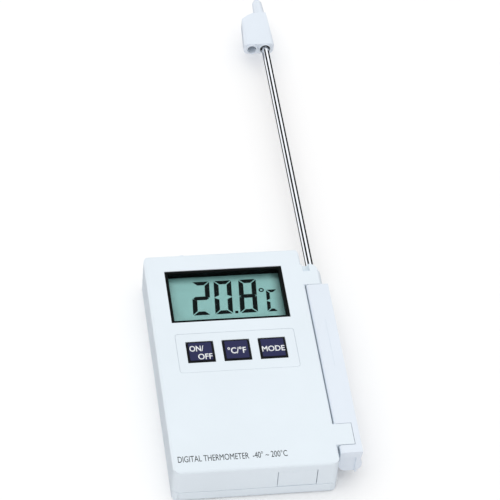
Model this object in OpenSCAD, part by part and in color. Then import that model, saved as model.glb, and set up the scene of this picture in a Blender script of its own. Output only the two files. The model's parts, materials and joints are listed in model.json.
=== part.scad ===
// Hand-held darkroom thermometer. A flat two-part case carries the display, three keys and a
// battery drawer. A side arm swings between two lugs on the case, and the stem of the probe
// stands in the arm's hinge axis with its handle at the far end.
// Frame: origin at the centre of the case's flat back, +Z out of the display face,
// +Y towards the display end, +X towards the side arm. Millimetres.

/* [Case] */
// Width of the case
case_w = 58; // [57:0.5:60]
// Height of the case, from foot to display end
case_h = 102; // [101:0.5:104]
// Depth of the case, from back to display face
case_d = 16; // [15.8:0.1:16.6]
// Thickness of the case walls
wall = 1.6; // [1.4:0.1:1.8]
// Radius of the case's upright corners
corner_r = 3; // [2.5:0.5:4]
// Radius along the edges of the display face
front_edge_r = 1; // [0.6:0.1:1.4]
// Radius along the edges of the back
back_edge_r = 1.5; // [1:0.1:2]
// Depth of the back shell, up to the seam
seam_z = 5; // [4.8:0.1:5.1]
// Distance of the case screws from the side walls' outer faces
screw_inset = 4.3; // [4.2:0.1:4.4]

/* [Display] */
// Width of the display opening
window_w = 43.4; // [42:0.2:43.6]
// Height of the display opening
window_h = 25.4; // [24:0.2:25.4]
// Sideways position of the display's centre
window_x = -0.25; // [-0.6:0.05:0]
// Height of the display's centre above the case's centre
window_y = 30.25; // [30.2:0.05:30.6]
// Width of the dark frame around the display
bezel_border = 1.15; // [1:0.05:1.3]
// Depth of the clear pane below the display face
window_recess = 2; // [1.8:0.1:2.2]

/* [Keys] */
// Side of each square key opening
key_size = 10; // [9.6:0.1:10.2]
// Gap between a key and its opening
key_gap = 0.25; // [0.2:0.01:0.3]
// Distance between neighbouring keys
key_pitch = 13.05; // [12.8:0.05:13.3]
// Sideways position of the middle key
key_x = -0.15; // [-0.3:0.05:0.3]
// Height of the row of keys above the case's centre
key_y = 3.1; // [3:0.1:4]
// Height of the key tops above the display face
key_proud = 0.3; // [0.1:0.05:0.4]
// How far a key goes in when it is pressed
key_travel = 0.5; // [0.4:0.05:0.5]
// Width of the inlaid panel around the keys
panel_w = 43.2; // [42:0.2:44]
// Height of the inlaid panel around the keys
panel_h = 18.4; // [18:0.2:19]

/* [Battery drawer] */
// Width of the drawer's opening in the foot of the case
bay_w = 14; // [13.8:0.1:14.2]
// Height of the drawer's opening, from the seam
bay_h = 8; // [7.9:0.1:8.2]
// Sideways position of the drawer
bay_x = 14.4; // [14.2:0.1:14.6]
// Diameter of the button cell
cell_d = 11.6; // [11.5:0.1:11.6]
// Thickness of the button cell
cell_h = 5.4; // [5.2:0.1:5.4]

/* [Side arm] */
// Sideways position of the hinge axis, which is also the stem's axis
axis_x = 33.5; // [33.5:0.1:33.8]
// Depth of the hinge axis below the display face
axis_depth = 6.66; // [6.5:0.02:6.8]
// Upper end of the arm
arm_top = 32.7; // [32.3:0.1:32.7]
// Foot of the arm's long body
arm_foot = -33.5; // [-33.6:0.1:-33.4]
// Radius of the arm's barrel around the hinge axis
arm_barrel_r = 4.15; // [4:0.05:4.15]
// Upper face of the block at the arm's foot
block_top = -43.3; // [-43.4:0.1:-43.2]
// Length of the block at the arm's foot
block_l = 3.45; // [3.2:0.05:3.8]
// Reach of the block to either side of the hinge axis
block_reach = 3.85; // [3.7:0.05:3.9]

/* [Probe] */
// Diameter of the steel stem
stem_d = 2.9; // [2.8:0.1:3]
// Wall thickness of the stem
stem_wall = 0.25; // [0.2:0.05:0.35]
// Position of the stem's tip
tip_y = 29.6; // [28:0.1:30]
// Position of the handle's lower face
handle_y = 169.3; // [160:0.1:180]
// Length of the handle's body
handle_l = 19.7; // [18:0.1:22]
// Width of the handle at its lower face
handle_w = 12.3; // [12.2:0.05:12.6]
// Thickness of the handle
handle_t = 5.1; // [5:0.1:5.4]
// Length of the handle's neck
neck_l = 9.2; // [8:0.1:11]
// Diameter of the second hole in the handle's lower face
socket_d = 3.7; // [3.4:0.1:3.7]
// Distance of the second hole from the stem's axis
socket_offset = 5.4; // [5.3:0.05:5.45]

/* [Hidden] */
$fn = 48;
eps = 0.01;
fit_gap = 0.05;
slack = 0.3;

face_z = case_d;
cavity_top = case_d - wall;
axis_z = case_d - axis_depth;
side_x = case_w / 2;
end_y = case_h / 2;
lip_h = 1.2;
seam_groove = 0.25;
lip_t = 0.8;

// the display's stack, from the clear pane down to the board
pane_t = 0.8;
glass_t = 0.7;
reflector_t = 0.2;
pane_top = face_z - window_recess;
pane_bottom = pane_top - pane_t;
rear_glass_top = pane_bottom - glass_t;
rear_glass_bottom = rear_glass_top - glass_t;
front_glass_w = window_w + 0.4;
front_glass_h = window_h + 1;
rear_glass_h = front_glass_h - 4.6;
holder_w = front_glass_w + 2;
holder_h = front_glass_h + 2;
bezel_flange = 0.8;
strip_w = 1.4;
strip_l = 39.6;
strip_y = rear_glass_h / 2 + 1.15;

// the board
board_t = 1.6;
board_z = 8;
board_top = board_z + board_t;
board_w = 51;
board_foot = -31.5;
board_head = 46.5;
board_screw = [23, -27];

// the case screws and their posts
screw_x = side_x - screw_inset;
screw_y = end_y - screw_inset;
post_r = 2.2;
screw_r = 1;
screw_head_r = 2.1;
screw_head_h = 1.5;
screw_seat = 2;

// the keys
key_half = key_size - 2 * key_gap;
key_flange = key_size + 1.2;
key_flange_top = cavity_top - 0.4;
key_flange_t = 1.1;
plunger_r = 1.8;
dome_top = board_top + 1.15;
plunger_bottom = dome_top + key_travel + fit_gap;
mat_t = 0.7;
panel_t = 0.3;
panel_y = key_y - 0.3;

// the battery drawer
drawer_gap = 0.2;
tray_floor = 1.1;
tray_bottom = seam_z + slack;
tray_w = cell_d + 1.3;
tray_l = cell_d + 2.2;
tray_top = tray_bottom + tray_floor + cell_h;
cell_y = -end_y + wall + tray_l / 2;

// the lugs
upper_lug = [32.9, 44.2];
lower_lug = [-42.95, -33.65];
upper_lug_x = 35.1;
lower_lug_x = axis_x + 1.75;
upper_lug_r = 3.3;
upper_lug_corner = 5.5;
upper_lug_end_r = 2;
notch_w = 2.6;
notch_depth = 2.3;
notch_l = 4.6;
lower_lug_r = 1.6;

// the bearings on the hinge axis
stem_r = stem_d / 2;
tube_ir = stem_r + 0.15;
tube_or = tube_ir + 0.55;
tube_foot = -30;
tube_head = upper_lug[0] + 4.3;
ring_y = [38, 41];
pin_r = 0.8;
pin_head_r = 1.8;
pin_head_t = 0.8;
pin_end = lower_lug[1] - 1.5;
washer_r = upper_lug_r - 0.1;
washer_recess = 0.4;
block_foot = block_top - block_l;
block_corner_r = 4.2;
block_step = 0.5;
arm_front_w = 4;
arm_back_w = 2.55;
arm_wall_x = 1.9;

// the probe
handle_top = handle_y + handle_l;
handle_right = 3.75;
handle_left = handle_right - handle_w;
handle_edge_r = 1.6;
collar_r = 2.45;
collar_l = 0.5;
neck_x = 0.4;
neck_base_r = 2.4;
neck_end_r = 1.95;
cord_r = 1.25;
seal_r = 2.1;
socket_depth = 6;
gland_x = -14;
gland_z = 10.4;
gland_r = 2.15;
gland_l = 3.5;

module rounded_rect(w, h, r) {
    square([w - 2 * r, h], center = true);
    square([w, h - 2 * r], center = true);
    for (sx = [-1, 1], sy = [-1, 1])
        translate([sx * (w / 2 - r), sy * (h / 2 - r)]) circle(r = r);
}

// a plate with rounded upright corners, from z0 up to z1
module plate(w, h, r, z0, z1)
    translate([0, 0, z0]) linear_extrude(z1 - z0) rounded_rect(w, h, r);

// a plain block, centred on x and y, from z0 up to z1
module block(w, h, z0, z1)
    translate([-w / 2, -h / 2, z0]) cube([w, h, z1 - z0]);

// a profile in x and z, drawn out along y
module along_y(y0, y1)
    translate([0, y1, 0]) rotate([90, 0, 0]) linear_extrude(y1 - y0) children();

module rod_y(r, y0, y1)
    translate([0, y1, 0]) rotate([90, 0, 0]) cylinder(r = r, h = y1 - y0);

module ring_y(r_out, r_in, y0, y1)
    difference() {
        rod_y(r_out, y0, y1);
        rod_y(r_in, y0 - 1, y1 + 1);
    }

module at_axis() translate([axis_x, 0, axis_z]) children();

module at_window() translate([window_x, window_y, 0]) children();

module at_case_screws()
    for (sx = [-1, 1], sy = [-1, 1])
        translate([sx * screw_x, sy * screw_y, 0]) children();

module at_board_screws()
    for (sx = [-1, 1])
        translate([sx * board_screw[0], board_screw[1], 0]) children();

module at_keys()
    for (i = [-1, 0, 1])
        translate([key_x + i * key_pitch, key_y, 0]) children();

// end view of the case: square at the seam, rounded at the back and at the face
module case_section(w) {
    translate([-w / 2, back_edge_r]) square([w, case_d - back_edge_r - front_edge_r]);
    translate([-w / 2 + back_edge_r, 0]) square([w - 2 * back_edge_r, case_d / 2]);
    translate([-w / 2 + front_edge_r, case_d / 2]) square([w - 2 * front_edge_r, case_d / 2]);
    for (s = [-1, 1]) {
        translate([s * (w / 2 - back_edge_r), back_edge_r]) circle(r = back_edge_r);
        translate([s * (w / 2 - front_edge_r), case_d - front_edge_r]) circle(r = front_edge_r);
    }
}

module case_body()
    intersection() {
        plate(case_w, case_h, corner_r, 0, case_d);
        along_y(-end_y - 1, end_y + 1) case_section(case_w);
        rotate([90, 0, 90]) linear_extrude(case_w + 2, center = true) case_section(case_h);
    }

module case_cavity()
    plate(case_w - 2 * wall, case_h - 2 * wall, corner_r - wall, wall, cavity_top);

// the lug at the display end: a block that rounds off towards its end, in front of a barrel
module upper_lug_body() {
    root_x = side_x - wall;
    lug_h = upper_lug[1] - upper_lug[0];
    big = 20;
    intersection() {
        translate([root_x, upper_lug[0], 0]) cube([upper_lug_x - root_x, lug_h, case_d]);
        translate([upper_lug_x - big / 2, upper_lug[1] - big / 2, axis_z - 2.6])
            linear_extrude(axis_depth + 2.6) rounded_rect(big, big, upper_lug_corner);
        along_y(upper_lug[0] - 1, upper_lug[1] + 1)
            translate([upper_lug_x - big / 2, case_d - big / 2]) rounded_rect(big, big, front_edge_r);
        translate([root_x - 1, upper_lug[1] - big / 2, case_d - big / 2]) rotate([90, 0, 90])
            linear_extrude(big) rounded_rect(big, big, upper_lug_end_r);
    }
    at_axis() rod_y(upper_lug_r, upper_lug[0], upper_lug[1] - 0.6);
}

// the lug at the foot: a narrow block in front of a slim barrel
module lower_lug_body() {
    root_x = side_x - wall;
    lug_h = lower_lug[1] - lower_lug[0];
    translate([root_x, lower_lug[0], axis_z])
        cube([lower_lug_x - root_x, lug_h, axis_depth - fit_gap]);
    translate([root_x, lower_lug[0], axis_z - lower_lug_r])
        cube([axis_x - root_x, lug_h, 2 * lower_lug_r]);
    at_axis() rod_y(lower_lug_r, lower_lug[0], lower_lug[1]);
}

module lug_bores()
    at_axis() {
        rod_y(tube_or + fit_gap, upper_lug[0] - 1, ring_y[1] + 0.2);
        rod_y(tube_ir, ring_y[1], upper_lug[1] + 1);
        rod_y(pin_r + fit_gap, lower_lug[0] - 1, pin_end + 0.2);
    }

module battery_ribs()
    for (s = [-1, 1])
        translate([bay_x + s * (bay_w / 2 + 0.7) - 0.5, -end_y + 0.5, seam_z])
            cube([1, tray_l + wall, cavity_top - seam_z + 0.5]);

module battery_opening()
    translate([bay_x - bay_w / 2, -end_y - 1, seam_z - 1]) cube([bay_w, wall + 2, bay_h + 1]);

module front_shell()
    color("ghostwhite")
    difference() {
        union() {
            difference() {
                case_body();
                case_cavity();
            }
            intersection() {
                case_body();
                union() {
                    at_case_screws() cylinder(r = post_r, h = cavity_top + 0.5);
                    at_board_screws() translate([0, 0, board_top])
                        cylinder(r = 2, h = cavity_top - board_top + 0.5);
                    battery_ribs();
                }
            }
            upper_lug_body();
            lower_lug_body();
        }
        translate([-case_w, -case_h, -1]) cube([2 * case_w, 2 * case_h, seam_z + 1]);
        at_window() block(window_w, window_h, cavity_top - 1, face_z + 1);
        translate([0, panel_y, 0]) plate(panel_w, panel_h, 1.2, face_z - panel_t, face_z + 1);
        at_keys() block(key_size, key_size, cavity_top - 1, face_z + 1);
        at_case_screws() translate([0, 0, seam_z - 1]) cylinder(r = screw_r, h = 8);
        at_board_screws() translate([0, 0, board_top - 1]) cylinder(r = 0.75, h = 4);
        battery_opening();
        translate([gland_x, 0, gland_z]) rod_y(gland_r, end_y - wall - 1, end_y + 1);
        lug_bores();
        translate([side_x + 0.2 + notch_w / 2, 0, face_z - notch_depth + notch_w / 2]) {
            rod_y(notch_w / 2, upper_lug[1] - notch_l, upper_lug[1] + 1);
            translate([-notch_w / 2, upper_lug[1] - notch_l, 0]) cube([notch_w, notch_l + 1, notch_depth]);
        }
    }

module back_shell()
    color("ghostwhite")
    difference() {
        union() {
            intersection() {
                difference() {
                    case_body();
                    case_cavity();
                }
                union() {
                    block(case_w + 2, case_h + 2, -1, seam_z - seam_groove);
                    plate(case_w - 0.8, case_h - 0.8, corner_r - 0.4, 1, seam_z);
                }
            }
            intersection() {
                case_body();
                at_case_screws() cylinder(r = 3, h = seam_z - seam_groove);
            }
            for (s = [-1, 1]) {
                translate([s * (side_x - wall - fit_gap - lip_t / 2), 0, 0])
                    block(lip_t, 80, wall - 0.5, seam_z + lip_h);
                translate([0, s * (end_y - wall - fit_gap - lip_t / 2), 0])
                    block(40, lip_t, wall - 0.5, seam_z + lip_h);
            }
        }
        at_case_screws() translate([0, 0, -1]) cylinder(r = screw_head_r + 0.2, h = screw_seat + 1);
        at_case_screws() cylinder(r = screw_r + 0.25, h = seam_z + 1);
        translate([bay_x - bay_w / 2 - 1.5, -end_y + wall, seam_z - 0.6])
            cube([bay_w + 3, 3, lip_h + 2]);
    }

// a pan-head screw that points up, with its head's underside at z = 0
module screw(head_r, head_h, shank_r, shank_l) {
    slot = head_r * 0.28;
    difference() {
        translate([0, 0, -head_h]) cylinder(r = head_r, h = head_h);
        for (turn = [0, 90])
            rotate([0, 0, turn]) block(2 * head_r * 0.62, slot, -head_h - 1, -head_h * 0.45);
    }
    cylinder(r = shank_r, h = shank_l);
}

module case_screws()
    color("silver")
    at_case_screws() translate([0, 0, screw_seat]) screw(screw_head_r, screw_head_h, screw_r - 0.02, 9.5);

module board_screws()
    color("silver")
    at_board_screws() translate([0, 0, board_z]) screw(1.5, 0.8, 0.73, 4.4);

module lcd_bezel()
    color("#101014")
    at_window() difference() {
        union() {
            block(window_w - 0.1, window_h - 0.1, pane_bottom, face_z - 0.2);
            block(window_w + 2 * bezel_flange, window_h + 2 * bezel_flange, pane_bottom, cavity_top);
        }
        block(window_w - 2 * bezel_border, window_h - 2 * bezel_border, pane_bottom - 1, face_z + 1);
    }

module lcd_window()
    color("#d8e4e2", 0.35)
    at_window() block(window_w - 2 * bezel_border, window_h - 2 * bezel_border, pane_bottom, pane_top);

module lcd_front_glass()
    color("#96beb6")
    at_window() block(front_glass_w, front_glass_h, rear_glass_top, pane_bottom);

module lcd_rear_glass()
    color("#9cc0b8")
    at_window() block(front_glass_w, rear_glass_h, rear_glass_bottom, rear_glass_top);

module lcd_reflector()
    color("#aeb8b4")
    at_window() block(front_glass_w, rear_glass_h, rear_glass_bottom - reflector_t, rear_glass_bottom);

module lcd_holder()
    color("#e8e8e4")
    at_window() difference() {
        block(holder_w, holder_h, board_top, pane_bottom);
        block(front_glass_w + 0.1, front_glass_h + 0.1, rear_glass_top, pane_bottom + 1);
        block(front_glass_w + 0.1, rear_glass_h + 0.1, board_top - 1, rear_glass_top + 1);
        for (s = [-1, 1])
            translate([0, s * strip_y, 0]) block(strip_l + 0.2, strip_w, board_top - 1, rear_glass_top + 1);
    }

module contact_strips()
    color("#2a2a2c")
    at_window() for (s = [-1, 1])
        translate([0, s * strip_y, 0]) block(strip_l, strip_w, board_top, rear_glass_top);

module key_panel()
    color("#f2f4f8")
    difference() {
        translate([0, panel_y, 0])
            plate(panel_w - 0.2, panel_h - 0.2, 1.1, face_z - panel_t, face_z);
        at_keys() block(key_size, key_size, face_z - 1, face_z + 1);
    }

module keypad_mat()
    color("#303036")
    difference() {
        union() {
            translate([0, key_y, 0]) plate(40, 14.5, 1, board_top, board_top + mat_t);
            at_keys() translate([0, 0, board_top + mat_t])
                cylinder(r1 = 3, r2 = 2.1, h = dome_top - board_top - mat_t);
        }
        at_keys() translate([0, 0, board_top - 1]) cylinder(r = 2, h = 1 + mat_t * 0.6);
    }

module contact_pads()
    color("gold")
    at_keys() translate([0, 0, board_top]) cylinder(r = 1.7, h = 0.1);

module circuit_board()
    color("#2f6b45")
    difference() {
        translate([0, (board_foot + board_head) / 2, 0])
            block(board_w, board_head - board_foot, board_z, board_top);
        at_case_screws() cylinder(r = post_r + 0.3, h = case_d);
        at_board_screws() cylinder(r = 0.9, h = case_d);
    }

module chip_cover() {
    r = 9;
    h = 1.4;
    color("#18181a")
    intersection() {
        translate([-3, -14, board_z - h + r]) sphere(r = r);
        translate([-3, -14, board_z - 2]) cylinder(r = r, h = 2);
    }
}

module chip_resistors()
    color("#26262a")
    for (i = [0:5])
        translate([11 + 3 * (i % 3), -10 - 5 * floor(i / 3), 0]) block(1.25, 2, board_z - 0.5, board_z);

module reservoir_can()
    color("#34363c")
    translate([-17, -20, board_z - 5]) cylinder(r = 2.5, h = 5);

module crystal_can()
    color("silver")
    translate([-16, -8, board_z - 1]) rod_y(1, -3, 3);

// a bent strip: along the cell, down its leg and onto the board
module cell_contact(strip_z, foot_z) {
    t = 0.2;
    strip_w = 4;
    strip_end = cell_y - 4;
    leg_y = board_foot - 1;
    low = min(strip_z, foot_z);
    high = max(strip_z, foot_z) + t;
    translate([bay_x - strip_w / 2, 0, 0]) {
        translate([0, strip_end, strip_z]) cube([strip_w, leg_y - strip_end, t]);
        translate([0, leg_y - t, low]) cube([strip_w, t, high - low]);
        translate([0, leg_y - t, foot_z]) cube([strip_w, 3, t]);
    }
}

module cell_contact_top() color("goldenrod") cell_contact(tray_top + 0.2, board_top);

module cell_contact_bottom() color("goldenrod") cell_contact(tray_bottom - 0.5, board_z - 0.2);

module cable_gland()
    color("#d9dade")
    translate([gland_x, 0, gland_z]) difference() {
        union() {
            rod_y(3, end_y - wall - 1.2, end_y - wall);
            rod_y(gland_r, end_y - wall - 0.5, end_y + 0.5);
            rod_y(2.8, end_y, end_y + 0.8);
            translate([0, end_y + gland_l, 0]) rotate([90, 0, 0])
                cylinder(r1 = 1.7, r2 = gland_r, h = gland_l - 0.5);
        }
        rod_y(cord_r, end_y - 1, end_y + gland_l + 1);
    }

module key_cap() {
    block(key_half, key_half, key_flange_top, face_z + key_proud);
    block(key_flange, key_flange, key_flange_top - key_flange_t, key_flange_top);
    translate([0, 0, plunger_bottom])
        cylinder(r = plunger_r, h = key_flange_top - key_flange_t - plunger_bottom);
}

module key_at(i) color("#23265a") translate([key_x + i * key_pitch, key_y, 0]) key_cap();

module key_on_off() key_at(-1);

module key_unit() key_at(0);

module key_mode() key_at(1);

module battery_drawer()
    color("#eceef4")
    translate([bay_x, 0, 0]) difference() {
        union() {
            translate([-bay_w / 2 + drawer_gap, -end_y, seam_z + drawer_gap])
                cube([bay_w - 2 * drawer_gap, wall, bay_h - drawer_gap - fit_gap]);
            translate([-tray_w / 2, -end_y + wall, tray_bottom])
                cube([tray_w, tray_l, tray_top - tray_bottom]);
        }
        translate([0, cell_y, tray_bottom + tray_floor])
            cylinder(r = cell_d / 2 + 0.15, h = cell_h + 1);
        translate([0, cell_y, tray_bottom - 1]) cylinder(r = 3.5, h = 3);
    }

module button_cell()
    color("#c9ccd2")
    translate([bay_x, cell_y, tray_bottom + tray_floor]) {
        cylinder(r = cell_d / 2, h = cell_h - 0.6);
        cylinder(r = cell_d / 2 - 1, h = cell_h);
    }

// end view of the arm around the hinge axis: a barrel behind, a flat front with a rounded edge
module arm_section(barrel_r, left) {
    front = axis_depth;
    edge = 1;
    circle(r = barrel_r);
    polygon([[-left, 0], [-left, front - edge], [-left + edge, front], [arm_front_w, front],
        [arm_back_w, -barrel_r], [0, -barrel_r], [0, 0]]);
    translate([-left + edge, front - edge]) circle(r = edge);
}

// end view of the block: square behind with its corners cut round, a flat front before it
module block_section() {
    intersection() {
        circle(r = block_corner_r);
        square(2 * block_reach, center = true);
    }
    intersection() {
        arm_section(arm_barrel_r, block_reach);
        translate([-block_reach, 0]) square([case_d, case_d]);
    }
    arm_wall_section();
}

module arm_wall_section()
    intersection() {
        arm_section(arm_barrel_r, arm_barrel_r);
        translate([arm_wall_x, -case_d]) square([case_d, 2 * case_d]);
    }

module side_arm()
    color("#eef0f6")
    difference() {
        at_axis() union() {
            along_y(arm_foot, arm_top) arm_section(arm_barrel_r, arm_barrel_r);
            along_y(block_foot, arm_foot + eps) arm_wall_section();
            along_y(block_foot + block_step, block_top) block_section();
            along_y(block_foot, block_top) difference() {
                block_section();
                circle(r = block_corner_r);
            }
        }
        at_axis() {
            rod_y(tube_or, tube_foot, arm_top + 1);
            rod_y(washer_r, arm_top - washer_recess, arm_top + 1);
            rod_y(pin_r, block_foot - 1, block_top + 1);
            rod_y(pin_head_r, block_foot - 1, block_foot + block_step + pin_head_t);
        }
        translate([axis_x + 0.1, -6.9, face_z - 0.1]) cube([0.25, 22.1, 1]);
    }

module guide_tube()
    color("silver")
    at_axis() ring_y(tube_or, tube_ir, tube_foot, tube_head);

module arm_washer()
    color("#b9bcc4")
    at_axis() ring_y(washer_r, tube_or, arm_top - washer_recess, upper_lug[0] - 0.1);

module pivot_pin()
    color("silver")
    at_axis() {
        rod_y(pin_head_r, block_foot + block_step, block_foot + block_step + pin_head_t);
        rod_y(pin_r, block_foot + block_step, pin_end);
    }

module grip_ring()
    color("#303034")
    at_axis() ring_y(tube_or, stem_r + fit_gap, ring_y[0], ring_y[1]);

// outline of the handle seen from the front: its sides lean in towards the neck, and the
// left one ends in a sloping shoulder
module handle_outline() {
    foot = handle_y + collar_l;
    round = 0.8;
    neck_left = neck_x - neck_base_r - 0.5;
    neck_right = neck_x + neck_base_r;
    polygon([[handle_left, foot + round], [handle_left + round, foot], [handle_right - round, foot],
        [handle_right, foot + round], [neck_right, handle_top], [neck_left, handle_top],
        [neck_left - 2.4, handle_top - 1.3], [handle_left + 1.1, handle_top - 3.4],
        [handle_left + 0.9, handle_top - 4.2]]);
}

module at_neck() translate([neck_x, 0, 0]) children();

module at_socket() translate([-socket_offset, 0, 0]) children();

module probe_handle()
    color("#f4f5f9")
    at_axis() difference() {
        union() {
            intersection() {
                translate([0, 0, -handle_t]) linear_extrude(2 * handle_t) handle_outline();
                along_y(handle_y - 1, handle_top + 1)
                    translate([(handle_left + handle_right) / 2, 0])
                        rounded_rect(handle_w, handle_t, handle_edge_r);
            }
            rod_y(collar_r, handle_y, handle_y + 2);
            at_socket() rod_y(collar_r, handle_y, handle_y + 2);
        }
        rod_y(stem_r, handle_y - 1, handle_top - 4);
        rod_y(seal_r, handle_y - 1, handle_y + 2);
        at_neck() rod_y(1.7, handle_top - 5, handle_top + 1);
        at_socket() rod_y(socket_d / 2, handle_y - 1, handle_y + socket_depth);
    }

module handle_boot()
    color("#f0f1f6")
    at_axis() at_neck() difference() {
        union() {
            rod_y(1.7, handle_top - 2.5, handle_top + 0.5);
            translate([0, handle_top + neck_l - neck_end_r * 0.5, 0]) rotate([90, 0, 0])
                cylinder(r1 = neck_end_r, r2 = neck_base_r, h = neck_l - neck_end_r * 0.5);
            translate([0, handle_top + neck_l, 0]) rotate([90, 0, 0])
                cylinder(r1 = neck_end_r * 0.75, r2 = neck_end_r, h = neck_end_r * 0.5);
        }
        rod_y(cord_r, handle_top, handle_top + neck_l + 1);
    }

module handle_seal()
    color("#1c1c20")
    at_axis() ring_y(seal_r, stem_r, handle_y + 1, handle_y + 2);

module stem_tube()
    color("#c8cbd0")
    at_axis() ring_y(stem_r, stem_r - stem_wall, tip_y + 3, handle_top - 6);

module stem_tip()
    color("#c8cbd0")
    at_axis() {
        rod_y(stem_r, tip_y + stem_r, tip_y + 3);
        rod_y(stem_r - stem_wall, tip_y + 3, tip_y + 5);
        translate([0, tip_y + stem_r, 0]) sphere(r = stem_r);
    }

module lead_wires()
    for (s = [-1, 1])
        translate([0.45 * s, 0, 0]) rod_y(0.2, tip_y + 9, handle_top - 8);

module bead() translate([0, tip_y + 8.2, 0]) sphere(r = 1);

module sensor_bead()
    color("#2b2320")
    at_axis() bead();

module sensor_leads()
    color("#b87333")
    at_axis() difference() {
        lead_wires();
        bead();
    }

module tip_potting()
    color("#d8d2c0")
    at_axis() difference() {
        rod_y(stem_r - stem_wall, tip_y + 5, tip_y + 14);
        bead();
        lead_wires();
    }

front_shell();
back_shell();
case_screws();
lcd_bezel();
lcd_window();
lcd_front_glass();
lcd_rear_glass();
lcd_reflector();
lcd_holder();
contact_strips();
key_panel();
keypad_mat();
contact_pads();
circuit_board();
board_screws();
chip_cover();
chip_resistors();
reservoir_can();
crystal_can();
cell_contact_top();
cell_contact_bottom();
cable_gland();
key_on_off();
key_unit();
key_mode();
battery_drawer();
button_cell();
side_arm();
guide_tube();
arm_washer();
pivot_pin();
grip_ring();
probe_handle();
handle_boot();
handle_seal();
stem_tube();
stem_tip();
sensor_bead();
sensor_leads();
tip_potting();
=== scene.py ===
import json
import math

import bmesh
import bpy
from mathutils import Matrix, Vector

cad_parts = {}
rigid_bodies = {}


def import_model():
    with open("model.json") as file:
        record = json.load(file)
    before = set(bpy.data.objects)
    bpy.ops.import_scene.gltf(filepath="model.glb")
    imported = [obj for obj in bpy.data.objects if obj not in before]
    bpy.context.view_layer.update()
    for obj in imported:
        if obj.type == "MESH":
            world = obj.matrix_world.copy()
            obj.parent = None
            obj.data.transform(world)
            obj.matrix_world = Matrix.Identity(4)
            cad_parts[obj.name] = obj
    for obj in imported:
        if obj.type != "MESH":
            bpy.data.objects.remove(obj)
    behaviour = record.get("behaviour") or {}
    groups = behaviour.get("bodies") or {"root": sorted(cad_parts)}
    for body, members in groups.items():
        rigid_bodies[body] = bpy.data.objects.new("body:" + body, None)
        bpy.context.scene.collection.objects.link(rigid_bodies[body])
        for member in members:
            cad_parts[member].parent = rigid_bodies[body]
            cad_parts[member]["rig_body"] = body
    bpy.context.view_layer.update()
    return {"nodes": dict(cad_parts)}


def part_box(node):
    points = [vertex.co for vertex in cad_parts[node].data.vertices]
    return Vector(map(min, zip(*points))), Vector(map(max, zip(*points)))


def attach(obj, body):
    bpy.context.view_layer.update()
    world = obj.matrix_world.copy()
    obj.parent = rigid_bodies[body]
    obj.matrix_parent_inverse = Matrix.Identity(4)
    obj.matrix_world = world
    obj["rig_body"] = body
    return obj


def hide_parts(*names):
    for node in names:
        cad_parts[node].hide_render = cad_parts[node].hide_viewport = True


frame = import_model()
nodes = frame["nodes"]

MM = 0.001


# ---------------------------------------------------------------- places read from the frame

def corners(node):
    """Lowest and highest corner of a CAD node, in millimetres."""
    low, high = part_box(node)
    return Vector(low) / MM, Vector(high) / MM


def centre(node):
    """Middle of a CAD node's box, in millimetres."""
    low, high = corners(node)
    return (low + high) / 2


case_low = corners("back_shell")[0]
window_high = corners("lcd_window")[1]
glass_top = corners("lcd_front_glass")[1].z
face_z = corners("front_shell")[1].z


# ---------------------------------------------------------------- materials

def new_material(name, rgb, roughness, metallic=0.0):
    """A named material; returns it with its node tree, its shader and object coordinates."""
    material = bpy.data.materials.new(name)
    material.use_nodes = True
    tree = material.node_tree
    shader = tree.nodes["Principled BSDF"]
    shader.inputs["Base Color"].default_value = (*rgb, 1)
    shader.inputs["Roughness"].default_value = roughness
    shader.inputs["Metallic"].default_value = metallic
    coords = tree.nodes.new("ShaderNodeTexCoord").outputs["Object"]
    return material, tree, shader, coords


def noise(tree, coords, size_mm, detail=2.0, stretch=(1, 1, 1)):
    """Noise whose features are about size_mm across, longer along an axis with a small stretch."""
    mapping = tree.nodes.new("ShaderNodeMapping")
    mapping.inputs["Scale"].default_value = stretch
    texture = tree.nodes.new("ShaderNodeTexNoise")
    texture.inputs["Scale"].default_value = 1 / (size_mm * MM)
    texture.inputs["Detail"].default_value = detail
    tree.links.new(coords, mapping.inputs["Vector"])
    tree.links.new(mapping.outputs["Vector"], texture.inputs["Vector"])
    return texture.outputs["Fac"]


def remap(tree, value, low, high, start=0.3, end=0.7):
    """value carried from start..end to low..high; the defaults are the range that noise keeps to."""
    node = tree.nodes.new("ShaderNodeMapRange")
    node.inputs["From Min"].default_value = start
    node.inputs["From Max"].default_value = end
    node.inputs["To Min"].default_value = low
    node.inputs["To Max"].default_value = high
    tree.links.new(value, node.inputs["Value"])
    return node.outputs["Result"]


def colour_between(tree, value, first, second):
    """A colour that goes from first to second as value goes from 0 to 1."""
    node = tree.nodes.new("ShaderNodeMix")
    node.data_type = "RGBA"
    node.inputs["A"].default_value = (*first, 1)
    node.inputs["B"].default_value = (*second, 1)
    tree.links.new(value, node.inputs["Factor"])
    return node.outputs["Result"]


def math_node(tree, operation, first, second, clamp=False):
    """A Math node on two sockets."""
    node = tree.nodes.new("ShaderNodeMath")
    node.operation = operation
    node.use_clamp = clamp
    tree.links.new(first, node.inputs[0])
    tree.links.new(second, node.inputs[1])
    return node.outputs[0]


def add_bump(tree, shader, value, depth_mm):
    """Relief of depth_mm where value goes from 0 to 1."""
    bump = tree.nodes.new("ShaderNodeBump")
    bump.inputs["Strength"].default_value = 1.0
    bump.inputs["Distance"].default_value = depth_mm * MM
    tree.links.new(value, bump.inputs["Height"])
    tree.links.new(bump.outputs["Normal"], shader.inputs["Normal"])


def shade(rgb, factor):
    """rgb made lighter or darker by factor."""
    return tuple(min(1.0, c * factor) for c in rgb)


DRIFT_MM = 22
WEAR_MM = 6
GLOSS_SPREAD = 0.05


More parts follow.
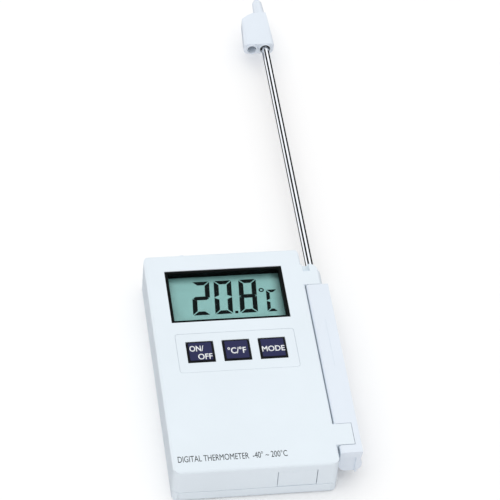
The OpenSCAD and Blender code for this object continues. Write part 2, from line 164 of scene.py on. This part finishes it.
def moulded(name, rgb, roughness=0.42, grain_mm=0.25, grain_depth=0.006, drift=0.02, shine=0.45):
    """Moulded plastic: fine spark-eroded grain, slow colour drift and uneven gloss."""
    material, tree, shader, coords = new_material(name, rgb, roughness)
    slow = noise(tree, coords, DRIFT_MM, 3)
    fine = noise(tree, coords, grain_mm, 2)
    tone = remap(tree, slow, 0, 1)
    colour = colour_between(tree, tone, shade(rgb, 1 - drift), shade(rgb, 1 + drift / 2))
    tree.links.new(colour, shader.inputs["Base Color"])
    worn = noise(tree, coords, WEAR_MM, 4)
    gloss = remap(tree, worn, roughness - GLOSS_SPREAD, roughness + GLOSS_SPREAD)
    tree.links.new(gloss, shader.inputs["Roughness"])
    shader.inputs["Specular IOR Level"].default_value = shine
    add_bump(tree, shader, fine, grain_depth)
    return material


def metal(name, rgb, roughness, stretch=(1, 1, 1), scratch_mm=0.3, depth=0.001):
    """Metal with fine scratches, longer along an axis with a small stretch."""
    material, tree, shader, coords = new_material(name, rgb, roughness, 1.0)
    lines = noise(tree, coords, scratch_mm, 3, stretch)
    spread = remap(tree, lines, max(0.02, roughness * 0.7), roughness * 1.4)
    tree.links.new(spread, shader.inputs["Roughness"])
    cloud = remap(tree, noise(tree, coords, 9, 2), 0, 1)
    colour = colour_between(tree, cloud, shade(rgb, 0.95), shade(rgb, 1.03))
    tree.links.new(colour, shader.inputs["Base Color"])
    add_bump(tree, shader, lines, depth)
    return material


def ink(name, rgb):
    """Printed ink: a thin matt film with slightly uneven cover."""
    material, tree, shader, coords = new_material(name, rgb, 0.5)
    cover = remap(tree, noise(tree, coords, 0.4, 3), 0, 1)
    colour = colour_between(tree, cover, shade(rgb, 0.92), shade(rgb, 1.06))
    tree.links.new(colour, shader.inputs["Base Color"])
    shader.inputs["Specular IOR Level"].default_value = 0.06
    return material


RECESS_SHADE_MM = 4


def display_glass():
    """The display's grey-green background, with the soft shade of the recess along its top and right."""
    bright = (0.290, 0.585, 0.560)
    deep = (0.060, 0.130, 0.125)
    material, tree, shader, coords = new_material("display_glass", bright, 0.3)
    split = tree.nodes.new("ShaderNodeSeparateXYZ")
    tree.links.new(coords, split.inputs["Vector"])
    shades = []
    for axis, edge in (("X", window_high.x), ("Y", window_high.y)):
        shadow = remap(tree, split.outputs[axis], 0, 0.6, (edge - RECESS_SHADE_MM) * MM, edge * MM)
        shadow.node.interpolation_type = "SMOOTHSTEP"
        shades.append(shadow)
    both = math_node(tree, "ADD", *shades, clamp=True)
    film = remap(tree, noise(tree, coords, 7, 3), 0, 0.08)
    total = math_node(tree, "ADD", both, film, clamp=True)
    colour = colour_between(tree, total, bright, deep)
    tree.links.new(colour, shader.inputs["Base Color"])
    return material


def clear_pane():
    """The display's window: nearly clear, faintly smeared."""
    material, tree, shader, coords = new_material("clear_pane", (0.01, 0.014, 0.014), 0.05)
    shader.inputs["Alpha"].default_value = 0.06
    shader.inputs["Specular IOR Level"].default_value = 0.2
    smear = remap(tree, noise(tree, coords, 5, 3), 0.03, 0.09)
    tree.links.new(smear, shader.inputs["Roughness"])
    return material


CASE_WHITE = (0.775, 0.850, 0.905)
ARM_WHITE = (0.760, 0.825, 0.900)

white = moulded("case_white", CASE_WHITE)
arm_white = moulded("arm_white", ARM_WHITE)
panel_white = moulded("panel_white", shade(CASE_WHITE, 0.99), roughness=0.35, grain_mm=0.15)
handle_white = moulded("handle_white", shade(ARM_WHITE, 0.99))
black = moulded("bezel_black", (0.002, 0.003, 0.003), roughness=0.55, grain_depth=0.004, shine=0.08)
key_black = moulded("key_black", (0.003, 0.004, 0.006), roughness=0.5, shine=0.15)
navy = moulded("key_navy", (0.014, 0.017, 0.080), roughness=0.4, drift=0.08, shine=0.25)
rubber = moulded("black_rubber", (0.02, 0.02, 0.023), roughness=0.7, grain_depth=0.01)
chip = moulded("chip_black", (0.015, 0.015, 0.016), roughness=0.55)
board = moulded("board_green", (0.02, 0.13, 0.06), roughness=0.3, grain_mm=0.5)
potting = moulded("potting", (0.62, 0.57, 0.42), roughness=0.5)
glass = display_glass()
pane = clear_pane()
reflector = metal("reflector", (0.6, 0.66, 0.63), 0.5)
steel = metal("screw_steel", (0.62, 0.63, 0.65), 0.28)
chrome = metal("stem_chrome", (0.86, 0.87, 0.89), 0.02, stretch=(1, 0.03, 1), scratch_mm=0.12,
               depth=0.0001)
gold = metal("gold_contact", (0.85, 0.62, 0.25), 0.25)
copper = metal("copper_wire", (0.75, 0.40, 0.22), 0.3)
segment_ink = ink("segment_black", (0.002, 0.006, 0.006))
legend_ink = ink("legend_white", (0.86, 0.89, 0.90))
print_ink = ink("print_grey", (0.020, 0.024, 0.028))

NODE_MATERIALS = {
    "front_shell": white, "back_shell": white, "battery_drawer": white, "key_panel": panel_white,
    "lcd_holder": white, "cable_gland": arm_white, "side_arm": arm_white,
    "probe_handle": handle_white, "handle_boot": handle_white, "lcd_bezel": black,
    "lcd_window": pane, "lcd_front_glass": glass, "lcd_rear_glass": glass,
    "lcd_reflector": reflector, "key_on_off": key_black, "key_unit": key_black, "key_mode": key_black,
    "contact_strips": rubber, "keypad_mat": rubber, "grip_ring": rubber, "handle_seal": rubber,
    "circuit_board": board, "chip_cover": chip, "chip_resistors": chip, "reservoir_can": chip,
    "sensor_bead": chip, "contact_pads": gold, "cell_contact_top": gold,
    "cell_contact_bottom": gold, "case_screws": steel, "board_screws": steel,
    "crystal_can": steel, "button_cell": steel, "guide_tube": steel, "arm_washer": steel,
    "pivot_pin": arm_white, "stem_tube": chrome, "stem_tip": chrome, "sensor_leads": copper,
    "tip_potting": potting,
}


for node_name, node_object in nodes.items():
    node_object.data.materials.clear()
    node_object.data.materials.append(NODE_MATERIALS[node_name])


# ---------------------------------------------------------------- making pieces


def body_of_node(node):
    """Name of the body that a CAD node rides."""
    return nodes[node]["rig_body"]


def add_piece(name, mesh, body, material):
    """A Blender piece that rides a body."""
    piece = bpy.data.objects.new(name, mesh)
    bpy.context.scene.collection.objects.link(piece)
    mesh.materials.append(material)
    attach(piece, body)
    return piece


def mesh_from(form, name):
    """The mesh of a finished bmesh, which is freed."""
    mesh = bpy.data.meshes.new(name)
    form.to_mesh(mesh)
    form.free()
    return mesh


# angles in degrees, widths in millimetres
SHARP_ANGLE = 38
CORNER_ANGLE = 40
FLAT_ANGLE = 0.3
CORNER_STEPS = 3
WELD = 0.002


def smooth_by_angle(piece):
    """Smooth shading that keeps real corners, with flat faces holding their own normals."""
    piece.data.shade_smooth()
    piece.data.set_sharp_from_angle(angle=math.radians(SHARP_ANGLE))
    normals = piece.modifiers.new("flat_faces", "WEIGHTED_NORMAL")
    normals.keep_sharp = True


def refine(node, width_mm, sink_mm=0.0):
    """Stands for a CAD node: the same shape with its corners rounded off by width_mm.
    sink_mm lowers its top face, to leave room for what lies on it."""
    form = bmesh.new()
    form.from_mesh(nodes[node].data)
    bmesh.ops.remove_doubles(form, verts=form.verts, dist=WELD * MM)
    bmesh.ops.dissolve_limit(
        form, angle_limit=math.radians(FLAT_ANGLE), verts=form.verts, edges=form.edges
    )
    top = corners(node)[1].z * MM
    for vert in form.verts:
        if vert.co.z > top - 1e-6:
            vert.co.z -= sink_mm * MM
    corner_edges = [
        edge for edge in form.edges
        if len(edge.link_faces) == 2 and edge.calc_face_angle() > math.radians(CORNER_ANGLE)
    ]
    bmesh.ops.bevel(
        form, geom=corner_edges, offset=width_mm * MM, offset_type="OFFSET",
        segments=CORNER_STEPS, profile=0.5, affect="EDGES", clamp_overlap=False,
    )
    name = node + "_skin"
    piece = add_piece(name, mesh_from(form, name), body_of_node(node), NODE_MATERIALS[node])
    smooth_by_angle(piece)
    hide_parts(node)


def prism(name, outlines, z0, z1, body, material):
    """Flat pieces: each outline, a list of (x, y) in millimetres, drawn up from z0 to z1."""
    form = bmesh.new()
    for outline in outlines:
        low = [form.verts.new((x * MM, y * MM, z0 * MM)) for x, y in outline]
        high = [form.verts.new((x * MM, y * MM, z1 * MM)) for x, y in outline]
        form.faces.new(high)
        form.faces.new(low[::-1])
        for i in range(len(outline)):
            j = (i + 1) % len(outline)
            form.faces.new((low[i], low[j], high[j], high[i]))
    bmesh.ops.recalc_face_normals(form, faces=form.faces)
    add_piece(name, mesh_from(form, name), body, material)


INK_THICK = 0.02


def lettering(name, text, box, z, body, material, weight=0.0):
    """Raised ink lettering that fills box = (left, foot, right, top) in millimetres."""
    curve = bpy.data.curves.new(name + "_outline", "FONT")
    curve.body = text
    curve.size = 1.0
    curve.offset = weight
    curve.resolution_u = 6
    holder = bpy.data.objects.new(name + "_outline", curve)
    bpy.context.scene.collection.objects.link(holder)
    bpy.context.view_layer.update()
    evaluated = holder.evaluated_get(bpy.context.evaluated_depsgraph_get())
    mesh = bpy.data.meshes.new_from_object(evaluated)
    bpy.data.objects.remove(holder)
    bpy.data.curves.remove(curve)
    xs = [v.co.x for v in mesh.vertices]
    ys = [v.co.y for v in mesh.vertices]
    left, foot, right, top = box
    scale_x = (right - left) / (max(xs) - min(xs))
    scale_y = (top - foot) / (max(ys) - min(ys))
    form = bmesh.new()
    form.from_mesh(mesh)
    bpy.data.meshes.remove(mesh)
    for vert in form.verts:
        x = left + (vert.co.x - min(xs)) * scale_x
        y = foot + (vert.co.y - min(ys)) * scale_y
        vert.co = Vector((x, y, z)) * MM
    bmesh.ops.remove_doubles(form, verts=form.verts, dist=0.001 * MM)
    faces = list(form.faces)
    for face in faces:
        face.normal_update()
        if face.normal.z < 0:
            face.normal_flip()
    raised = bmesh.ops.extrude_face_region(form, geom=faces)
    for item in raised["geom"]:
        if isinstance(item, bmesh.types.BMVert):
            item.co.z += INK_THICK * MM
    add_piece(name, mesh_from(form, name), body, material)


# ---------------------------------------------------------------- case

# how far each piece's corners are rounded off, in millimetres
CORNER_WIDTHS = {
    "back_shell": 0.15, "battery_drawer": 0.2, "key_panel": 0.06, "lcd_bezel": 0.12,
    "cable_gland": 0.15, "case_screws": 0.08, "pivot_pin": 0.01, "handle_boot": 0.25,
}

for node_name, width in CORNER_WIDTHS.items():
    refine(node_name, width)


# ---------------------------------------------------------------- keys

KEYS = ("key_on_off", "key_unit", "key_mode")
KEY_CORNER = 0.3
# the moulding's top stands this far below the CAD key's, and the pad's top this far
KEY_SINK = 0.08
PAD_TOP = 0.02
PAD_FOOT = 0.2
# width of the dark edge round the pad, and the pad's corner radius
PAD_EDGE = 0.65
PAD_CORNER = 0.35
# how far the key's flange reaches past its cap on each side
KEY_FLANGE = 0.85

unit_low, unit_high = corners("key_unit")
PAD_HALF = (unit_high.x - unit_low.x) / 2 - KEY_FLANGE - PAD_EDGE


def rounded_square(x, y, half, r, steps=6):
    """Outline of a square of half-width half about (x, y), its corners rounded by r."""
    points = []
    for quarter, (sx, sy) in enumerate(((1, 1), (-1, 1), (-1, -1), (1, -1))):
        for i in range(steps + 1):
            turn = math.pi / 2 * (quarter + i / steps)
            corner_x, corner_y = x + sx * (half - r), y + sy * (half - r)
            points.append((corner_x + r * math.cos(turn), corner_y + r * math.sin(turn)))
    return points


def key_skin(node):
    """A key: its dark moulding, and the coloured pad laid on its top inside a dark edge."""
    refine(node, KEY_CORNER, sink_mm=KEY_SINK)
    mid = centre(node)
    top = corners(node)[1].z
    prism(node + "_pad", [rounded_square(mid.x, mid.y, PAD_HALF, PAD_CORNER)], top - PAD_FOOT,
          top - PAD_TOP, body_of_node(node), navy)


for node_name in KEYS:
    key_skin(node_name)


# ---------------------------------------------------------------- display

SEGMENTS = {"0": "abcdef", "2": "abdeg", "8": "abcdefg", "C": "adef"}
DIGIT_SLANT = 1.2 / 15.6

# x is from the window's middle, and the digits stand on a line below that middle
DIGITS_FOOT = -7.15
BIG_DIGITS = (("2", -13.1), ("0", -4.95), ("8", 4.2))
UNIT_LETTER = ("C", 14.2)
# width, height, bar thickness and gap between bars
BIG_SIZE = (6.5, 16.4, 1.75, 0.3)
UNIT_SIZE = (4.1, 10.7, 1.3, 0.28)
POINT_X = 2.3
POINT_OUTLINE = ((0, 0), (1.15, 0), (1.25, 1.15), (0.1, 1.15))
DEGREE_PLACE = (13.3, 10.75)
DEGREE_RADII = (1.0, 0.5)
# the bars' lower and upper face over the glass
BARS_Z = (0.002, 0.03)


def segment_outline(part, w, h, t, gap):
    """One bar of a seven-segment digit, from its box's lower left corner."""
    mid = h / 2
    half = gap / 2
    bars = {
        "a": [(gap, h), (w - gap, h), (w - gap - t, h - t), (gap + t, h - t)],
        "d": [(gap, 0), (gap + t, t), (w - gap - t, t), (w - gap, 0)],
        "g": [(gap, mid), (gap + t / 2, mid + t / 2), (w - gap - t / 2, mid + t / 2),
              (w - gap, mid), (w - gap - t / 2, mid - t / 2), (gap + t / 2, mid - t / 2)],
        "f": [(0, h - gap), (t, h - gap - t), (t, mid + half + t / 2), (0, mid + half)],
        "e": [(0, gap), (0, mid - half), (t, mid - half - t / 2), (t, gap + t)],
    }
    bars["b"] = [(w - x, y) for x, y in bars["f"]]
    bars["c"] = [(w - x, y) for x, y in bars["e"]]
    return bars[part]


def digit_outlines(char, x, y, w, h, t, gap):
    """The slanted bars of one digit standing at (x, y)."""
    return [
        [(x + px + DIGIT_SLANT * py, y + py) for px, py in segment_outline(part, w, h, t, gap)]
        for part in SEGMENTS[char]
    ]


def circle(x, y, r, steps=32):
    """Outline of a circle."""
    return [
        (x + r * math.cos(math.tau * i / steps), y + r * math.sin(math.tau * i / steps))
        for i in range(steps)
    ]


def ring(name, x, y, r_out, r_in, z0, z1, body, slot, material):
    """A flat ring about (x, y) from z0 to z1."""
    outer = circle(x, y, r_out)
    inner = circle(x, y, r_in)
    form = bmesh.new()
    loops = [
        [form.verts.new((px * MM, py * MM, z * MM)) for px, py in points]
        for points, z in ((outer, z0), (outer, z1), (inner, z1), (inner, z0))
    ]
    for first, second in zip(loops, loops[1:] + loops[:1]):
        for i in range(len(first)):
            j = (i + 1) % len(first)
            form.faces.new((first[i], first[j], second[j], second[i]))
    bmesh.ops.recalc_face_normals(form, faces=form.faces)
    add_piece(name, mesh_from(form, name), body, material)


def display_segments():
    """The reading on the display's glass."""
    mid = centre("lcd_window")
    foot = mid.y + DIGITS_FOOT
    z0, z1 = (glass_top + z for z in BARS_Z)
    outlines = []
    for char, left in BIG_DIGITS:
        outlines += digit_outlines(char, mid.x + left, foot, *BIG_SIZE)
    letter, left = UNIT_LETTER
    outlines += digit_outlines(letter, mid.x + left, foot, *UNIT_SIZE)
    outlines.append([(mid.x + POINT_X + x, foot + y) for x, y in POINT_OUTLINE])
    prism("display_digits", outlines, z0, z1, "case", segment_ink)
    degree_x, degree_y = DEGREE_PLACE
    ring("display_degree_ring", mid.x + degree_x, foot + degree_y, *DEGREE_RADII, z0, z1,
         "case", "bezel_black", segment_ink)


display_segments()


# ---------------------------------------------------------------- legends

# each line and its box (left, foot, right, top) from the middle of the key
LEGENDS = {
    "key_on_off": (("ON/", (-3.9, 0.05, 1.2, 2.75)), ("OFF", (-1.2, -3.85, 4.0, -1.15))),
    "key_unit": (("°C/°F", (-3.35, -1.9, 3.25, 1.15)),),
    "key_mode": (("MODE", (-4.05, -1.8, 4.2, 0.8)),),
}
LEGEND_WEIGHT = 0.02
PRINT_TEXT = "DIGITAL THERMOMETER  -40° ~ 200°C"
# the printed line's box from the case's lower left corner
PRINT_BOX = (2.1, 4.45, 40.1, 7.25)


def legends():
    """The key legends, and the printed line at the foot of the case."""
    key_z = corners("key_on_off")[1].z
    for node, lines in LEGENDS.items():
        mid = centre(node)
        for i, (text, (left, foot, right, top)) in enumerate(lines):
            box = (mid.x + left, mid.y + foot, mid.x + right, mid.y + top)
            lettering(f"{node}_legend_{i}", text, box, key_z - PAD_TOP, body_of_node(node),
                      legend_ink, weight=LEGEND_WEIGHT)
    left, foot, right, top = PRINT_BOX
    print_box = (case_low.x + left, case_low.y + foot, case_low.x + right, case_low.y + top)
    lettering("case_print", PRINT_TEXT, print_box, face_z, "case", print_ink)


legends()


# ---------------------------------------------------------------- stage, light and camera

# metres
FLOOR_SIZE = 6
FLOOR_Z = -0.00005


def floor():
    """A matt white sheet under the object, kept out of what polished metal mirrors."""
    bpy.ops.mesh.primitive_plane_add(size=FLOOR_SIZE, location=(0, 0, FLOOR_Z))
    plane = bpy.context.object
    plane.name = "floor"
    material, _, shader, _ = new_material("floor_pale", (0.985, 0.985, 0.985), 0.8)
    shader.inputs["Specular IOR Level"].default_value = 0.1
    plane.data.materials.append(material)
    plane.visible_glossy = False


TENT_HORIZON = (0.70, 0.655, 0.69)
TENT_OVERHEAD = (1.07, 1.09, 1.075)
SEAM_DARK = (0.01, 0.012, 0.015)
SEAM_BRIGHT = (1.15, 1.17, 1.2)
# degrees from overhead, turning to the right about the object's length, and how bright there
SEAM_STOPS = ((-112, 0), (-107, 1), (-57, 1), (-52, 0), (-4, 0), (1, 1), (58, 1), (63, 0))


def studio_world():
    """A white tent, brightest overhead. What polished metal mirrors is its seams: dark bands
    that run along the object, one a little left of overhead and one low down on each side."""
    world = bpy.data.worlds.new("studio")
    bpy.context.scene.world = world
    world.use_nodes = True
    tree = world.node_tree
    background = tree.nodes["Background"]
    direction = tree.nodes.new("ShaderNodeTexCoord").outputs["Generated"]
    split = tree.nodes.new("ShaderNodeSeparateXYZ")
    tree.links.new(direction, split.inputs["Vector"])
    overhead = remap(tree, split.outputs["Z"], 0, 1, 0, 1)
    tent = colour_between(tree, overhead, TENT_HORIZON, TENT_OVERHEAD)

    turn = math_node(tree, "ARCTAN2", split.outputs["X"], split.outputs["Z"])
    bands = tree.nodes.new("ShaderNodeValToRGB")
    stops = bands.color_ramp.elements
    stops[0].position = 0.0
    stops[1].position = 1.0
    stops[1].color = (0, 0, 0, 1)
    for degrees, value in SEAM_STOPS:
        stop = stops.new(0.5 + degrees / 360)
        stop.color = (value, value, value, 1)
    tree.links.new(remap(tree, turn, 0, 1, -math.pi, math.pi), bands.inputs["Fac"])
    mirrored = colour_between(tree, bands.outputs["Color"], SEAM_DARK, SEAM_BRIGHT)

    rays = tree.nodes.new("ShaderNodeLightPath")
    chosen = tree.nodes.new("ShaderNodeMix")
    chosen.data_type = "RGBA"
    tree.links.new(rays.outputs["Is Glossy Ray"], chosen.inputs["Factor"])
    tree.links.new(tent, chosen.inputs["A"])
    tree.links.new(mirrored, chosen.inputs["B"])
    tree.links.new(chosen.outputs["Result"], background.inputs["Color"])
    background.inputs["Strength"].default_value = 1.0


LIGHT_SIZE = 1.6
LIGHT_ENERGY = 3.2
LIGHT_PLACE = (-0.3, 0.25, 1.4)
LIGHT_AIM = (0, 0.04, 0)


def key_light():
    """One large soft light overhead, behind the display end."""
    light = bpy.data.lights.new("key", "AREA")
    light.size = LIGHT_SIZE
    light.energy = LIGHT_ENERGY
    lamp = bpy.data.objects.new("key", light)
    bpy.context.scene.collection.objects.link(lamp)
    lamp.location = LIGHT_PLACE
    lamp.rotation_euler = (Vector(LIGHT_AIM) - lamp.location).to_track_quat("-Z", "Y").to_euler()
    lamp.visible_glossy = False


SENSOR_MM = 36
LENS_MM = 180
CAMERA_RIGHT = (0.98898, -0.13272, 0.06552)
CAMERA_UP = (0.05124, 0.7223, 0.68967)
# metres, its height being over the case's face
CAMERA_PLACE = (-0.1177, -0.5779, 0.6689)


def camera():
    """A long lens from the foot end, a little left of the case, tilted slightly on its axis."""
    data = bpy.data.cameras.new("camera")
    data.sensor_width = SENSOR_MM
    data.lens = LENS_MM
    data.clip_start = 0.05
    data.clip_end = 20
    viewer = bpy.data.objects.new("camera", data)
    bpy.context.scene.collection.objects.link(viewer)
    right = Vector(CAMERA_RIGHT)
    up = Vector(CAMERA_UP)
    back = right.cross(up)
    place = Vector(CAMERA_PLACE) + Vector((0, 0, face_z * MM))
    viewer.matrix_world = Matrix.Translation(place) @ Matrix((right, up, back)).transposed().to_4x4()
    bpy.context.scene.camera = viewer


bpy.context.scene.view_settings.view_transform = "Standard"
floor()
studio_world()
key_light()
camera()
